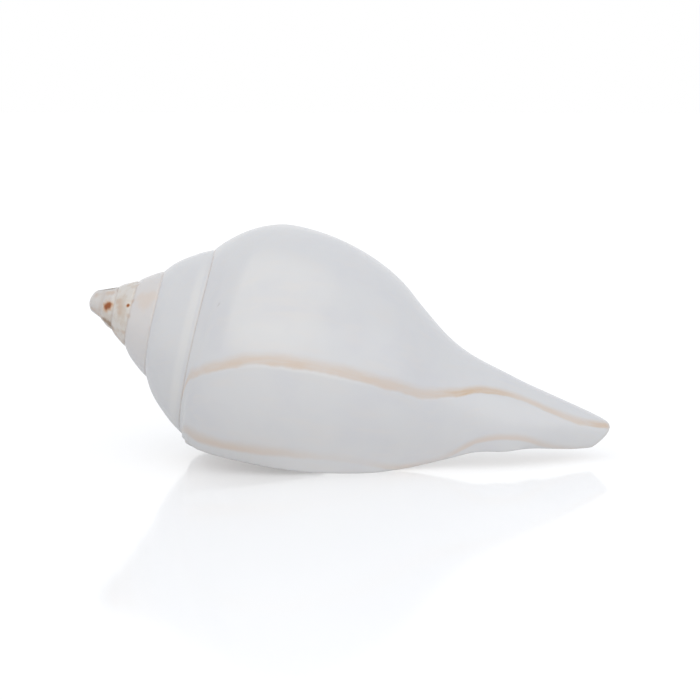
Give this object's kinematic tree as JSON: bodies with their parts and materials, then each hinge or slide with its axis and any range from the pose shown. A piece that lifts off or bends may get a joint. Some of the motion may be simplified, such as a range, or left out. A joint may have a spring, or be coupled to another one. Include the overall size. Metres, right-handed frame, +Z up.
{
  "type": "chank shell",
  "caption": "Whole chank shell: smooth dextral spiral with a low spire, a swollen body whorl and a long open canal, lying on its aperture.",
  "frame": {"origin": "bottom centre of the bounding box, on the floor under the lying shell", "axes": "+X along the shell from the spire's apex to the canal's tip, +Z up, -Y the side of the shell seen in the picture"},
  "size_m": [0.1272, 0.062, 0.0568],
  "materials": {
    "shell": "polished white natural shell with faint tan growth lines, satin gloss"
  },
  "bodies": {
    "root": {"shell": "shell"}
  },
  "joints": []
}
